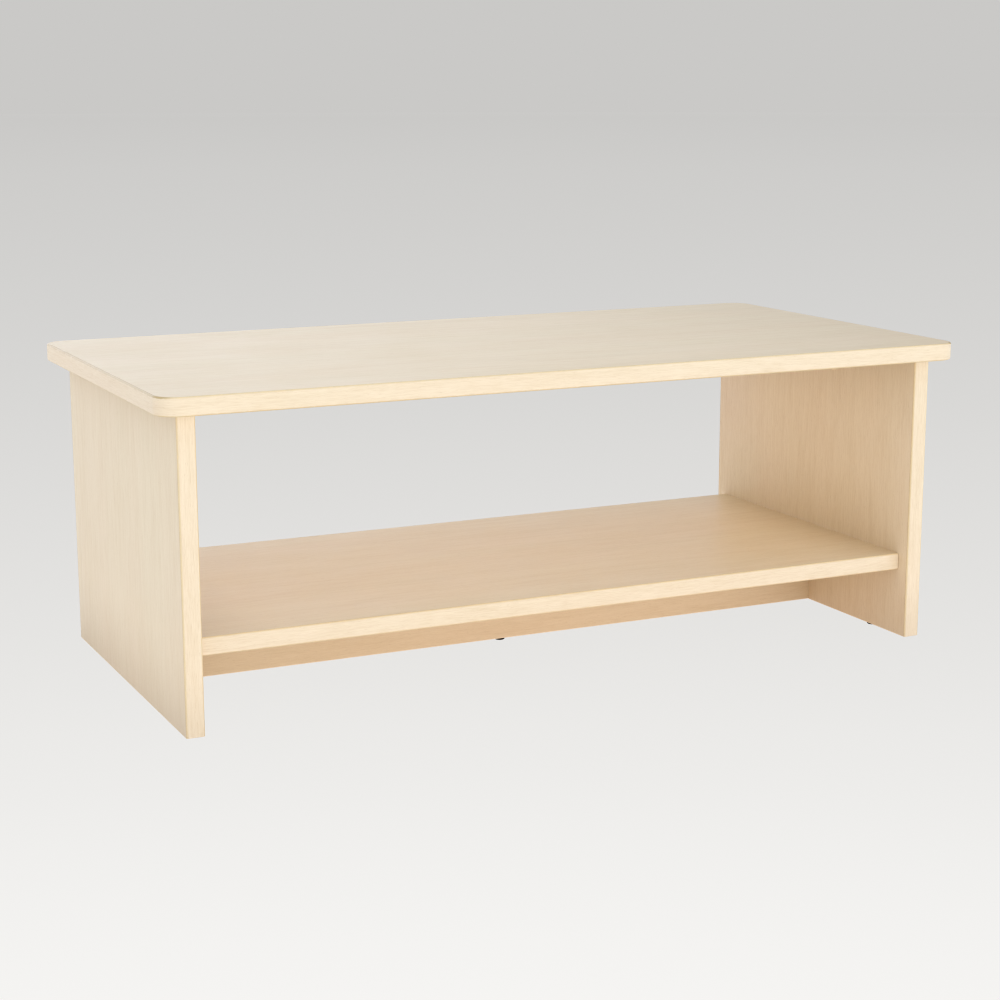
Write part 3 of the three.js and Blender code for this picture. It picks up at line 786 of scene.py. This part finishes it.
KEPT = {
    "top_panel": M_TOP,
    "shelf_panel": M_SHELF,
    "stretcher_panel": M_STRETCHER,
    "left_side_panel": M_LEFT,
    "right_side_panel": M_RIGHT,
    "left_side_foot_band": M_FOOT_Y,
    "right_side_foot_band": M_FOOT_Y,
    "stretcher_foot_band": M_FOOT_X,
}
for name, o in NODES.items():
    if name in KEPT:
        chosen = KEPT[name]
    elif "dowel" in name:
        chosen = M_BEECH_X if name.startswith(("shelf_dowel", "stretcher_dowel")) else M_BEECH_Z
    elif "bolt" in name:
        chosen = M_STEEL
    elif name.startswith("top_cam_") and "cap" not in name:
        chosen = M_ZINC
    else:
        continue
    o.data.materials[0] = chosen


# ---------------------------------------------------------------- floor, world, light

def linear(level):
    c = level / 255
    return c / 12.92 if c <= 0.04045 else ((c + 0.055) / 1.055) ** 2.4


def grey(level):
    """A very slightly warm grey, given as its 8-bit red level."""
    return (linear(level), linear(level - 1), linear(level - 3))


GLOW = 0.985         # share of the floor's look that doesn't depend on the light on it
FLOOR_ALBEDO = 0.60
EYE = (-1.28746, -2.70739, 0.83884)   # where the camera stands, and the middle of the floor's slow falloff

bm = bmesh.new()
ring_radii = [1.5, 3.0, 6.0, 12.0, 24.0, 40.0]
centre = bm.verts.new((0, 0, 0))
previous = None
for r in ring_radii:
    ring = [bm.verts.new((r * math.cos(2 * math.pi * i / 96), r * math.sin(2 * math.pi * i / 96), 0)) for i in range(96)]
    for i in range(96):
        i2 = (i + 1) % 96
        if previous is None:
            bm.faces.new([centre, ring[i], ring[i2]])
        else:
            bm.faces.new([previous[i], ring[i], ring[i2], previous[i2]])
    previous = ring
floor_mesh = bpy.data.meshes.new("floor")
bm.to_mesh(floor_mesh)
bm.free()
floor = bpy.data.objects.new("floor", floor_mesh)
bpy.context.scene.collection.objects.link(floor)

m, g = material("floor")
x, y, z = g.separate(g.node("ShaderNodeTexCoord").outputs["Object"])
dx, dy = g.math("SUBTRACT", x, EYE[0]), g.math("SUBTRACT", y, EYE[1])
reach = g.math("SQRT", g.math("ADD", g.math("MULTIPLY", dx, dx), g.math("MULTIPLY", dy, dy)))
dip = g.math("ARCTAN2", EYE[2], reach)   # 0 far away, larger close by
ROWS = [(65, 202.0), (115, 203.5), (170, 206.0), (225, 208.3), (280, 211.0), (335, 213.7), (390, 216.6), (445, 220.0),
        (500, 223.0), (555, 226.0), (610, 229.0), (665, 232.0), (720, 235.0), (775, 237.3), (830, 240.0), (885, 242.2),
        (940, 244.0), (995, 245.3)]
stops = []
for row, level in ROWS:
    angle = 0.20545 + math.atan((row - 500) / 2060.62)
    if angle > 0.02:
        stops.append((angle, level))
stops.insert(0, (0.021, 202.0))
LIT = 0.9   # mean light on the floor, for the part that does depend on it
shown = []
for angle, level in stops:
    c = tuple(max(0.0, (v - (1 - GLOW) * FLOOR_ALBEDO * LIT) / GLOW) for v in grey(level))
    shown.append((angle / 0.8, c))
glow = g.ramp(g.math("DIVIDE", dip, 0.8), shown)
# painted shade on the floor: its colour is darker right under and beside the table, so the light that it sends back is
# weaker there
bx = g.math("MAXIMUM", g.math("SUBTRACT", g.math("ABSOLUTE", x), 0.555), 0.0)
by = g.math("MAXIMUM", g.math("SUBTRACT", g.math("ABSOLUTE", y), 0.255), 0.0)
away = g.math("SQRT", g.math("ADD", g.math("MULTIPLY", bx, bx), g.math("MULTIPLY", by, by)))
near = g.node("ShaderNodeMapRange", {"Value": away, "From Min": 0.0, "From Max": 0.22, "To Min": 0.0, "To Max": 1.0},
              interpolation_type="SMOOTHSTEP").outputs[0]
bounce = g.mix(near, (0.30, 0.29, 0.28), (FLOOR_ALBEDO, FLOOR_ALBEDO, FLOOR_ALBEDO * 0.99))
soft = g.node("ShaderNodeBsdfDiffuse", {"Color": bounce})
# and the pale floor glows back, a little warmer under the table
along = g.math("SUBTRACT", x, 0.08)
span = g.math("ADD", g.math("MULTIPLY", along, along), g.math("MULTIPLY", g.math("MULTIPLY", y, y), 3.0))
under = g.math("DIVIDE", 1.0, g.math("ADD", 1.0, g.math("POWER", g.math("MULTIPLY", span, 2.2), 2.0)))
warmth = g.node("ShaderNodeVectorMath", {0: (0.215, 0.110, 0.067), "Scale": under}, operation="SCALE").outputs[0]
glowing = g.node("ShaderNodeVectorMath", {0: warmth, 1: (0.436, 0.423, 0.425)}, operation="ADD").outputs[0]
lift = g.node("ShaderNodeEmission", {"Color": glowing, "Strength": 1.0})
raised = g.node("ShaderNodeAddShader")
g.tree.links.new(soft.outputs[0], raised.inputs[0])
g.tree.links.new(lift.outputs[0], raised.inputs[1])
seen = g.node("ShaderNodeBsdfDiffuse", {"Color": (FLOOR_ALBEDO, FLOOR_ALBEDO, FLOOR_ALBEDO * 0.99, 1)})
light = g.node("ShaderNodeEmission", {"Color": glow, "Strength": 1.0})
front = g.node("ShaderNodeMixShader", {"Fac": GLOW})
g.tree.links.new(seen.outputs[0], front.inputs[1])
g.tree.links.new(light.outputs[0], front.inputs[2])
path = g.node("ShaderNodeLightPath")
both = g.node("ShaderNodeMixShader")
g.tree.links.new(path.outputs["Is Camera Ray"], both.inputs["Fac"])
g.tree.links.new(raised.outputs[0], both.inputs[1])
g.tree.links.new(front.outputs[0], both.inputs[2])
out = g.node("ShaderNodeOutputMaterial")
g.tree.links.new(both.outputs[0], out.inputs["Surface"])
floor_mesh.materials.append(m)

world = bpy.data.worlds.new("studio")
bpy.context.scene.world = world
world.use_nodes = True
g = Graph(world.node_tree)
# soft light from all round: an overhead, wide screens in front, behind and to the left, and low ones near the horizon
ZENITH = (0.889, 0.899, 0.912)
FRONT = (1.699, 1.693, 1.687)
FRONT_RIGHT = (0.303, 0.312, 0.308)
FRONT_LOW = (2.346, 2.325, 2.238)
BACK = (2.421, 2.479, 2.611)
BACK_LOW = (0.060, 0.122, 0.420)
LEFT = (0.830, 0.848, 0.893)
LOBES = [   # colour, axis, how narrow, how low
    (ZENITH, (0.0, 0.0, 1.0), 2.0, 0.0),
    (FRONT, (0.0, -1.0, 0.0), 5.0, 0.0),
    (FRONT_RIGHT, (0.6, -0.8, 0.0), 2.0, 0.0),
    (FRONT_LOW, (0.6, -0.8, 0.0), 2.0, 6.0),
    (BACK, (0.0, 1.0, 0.0), 6.0, 0.0),
    (BACK_LOW, (0.0, 1.0, 0.0), 2.0, 6.0),
    (LEFT, (-1.0, 0.0, 0.0), 2.0, 0.0),
]
way = g.node("ShaderNodeTexCoord").outputs["Generated"]
rise = g.math("SUBTRACT", 1.0, g.math("MAXIMUM", g.separate(way)[2], 0.0))
total = None
for colour, axis, narrow, low in LOBES:
    share = g.node("ShaderNodeVectorMath", {0: way, 1: axis}, operation="DOT_PRODUCT").outputs["Value"]
    share = g.math("POWER", g.math("MAXIMUM", share, 0.0), narrow)
    if low:
        share = g.math("MULTIPLY", share, g.math("POWER", rise, low))
    part = g.node("ShaderNodeVectorMath", {0: colour, "Scale": share}, operation="SCALE").outputs[0]
    total = part if total is None else g.node("ShaderNodeVectorMath", {0: total, 1: part}, operation="ADD").outputs[0]
seen = g.node("ShaderNodeBackground", {"Color": (*grey(202.0), 1), "Strength": 1.0})
lit = g.node("ShaderNodeBackground", {"Color": total, "Strength": 1.0})
path = g.node("ShaderNodeLightPath")
both = g.node("ShaderNodeMixShader")
g.tree.links.new(path.outputs["Is Camera Ray"], both.inputs["Fac"])
g.tree.links.new(lit.outputs[0], both.inputs[1])
g.tree.links.new(seen.outputs[0], both.inputs[2])
out = g.node("ShaderNodeOutputWorld")
g.tree.links.new(both.outputs[0], out.inputs["Surface"])


# ---------------------------------------------------------------- camera and picture

camera = bpy.data.cameras.new("camera")
camera.sensor_fit = "HORIZONTAL"
camera.sensor_width = 36.0
camera.lens = 74.182
camera.clip_start, camera.clip_end = 0.05, 200.0
view = bpy.data.objects.new("camera", camera)
bpy.context.scene.collection.objects.link(view)
YAW, PITCH, ROLL = 0.444205, -0.205446, -0.001279
view.location = EYE
view.rotation_mode = "QUATERNION"
view.rotation_quaternion = Vector(
    (math.sin(YAW) * math.cos(PITCH), math.cos(YAW) * math.cos(PITCH), math.sin(PITCH))
).to_track_quat("-Z", "Y") @ Quaternion((0, 0, 1), ROLL)
bpy.context.scene.camera = view

scene = bpy.context.scene
scene.view_settings.view_transform = "Standard"
scene.view_settings.look = "None"
scene.view_settings.exposure = 0.0
scene.view_settings.gamma = 1.0
scene.cycles.filter_width = 1.2
scene.cycles.use_denoising = True
scene.cycles.denoiser = "OPENIMAGEDENOISE"
scene.cycles.denoising_input_passes = "RGB_ALBEDO_NORMAL"
scene.cycles.max_bounces = 12
scene.cycles.diffuse_bounces = 8
scene.cycles.sample_clamp_indirect = 10.0

bpy.context.view_layer.update()
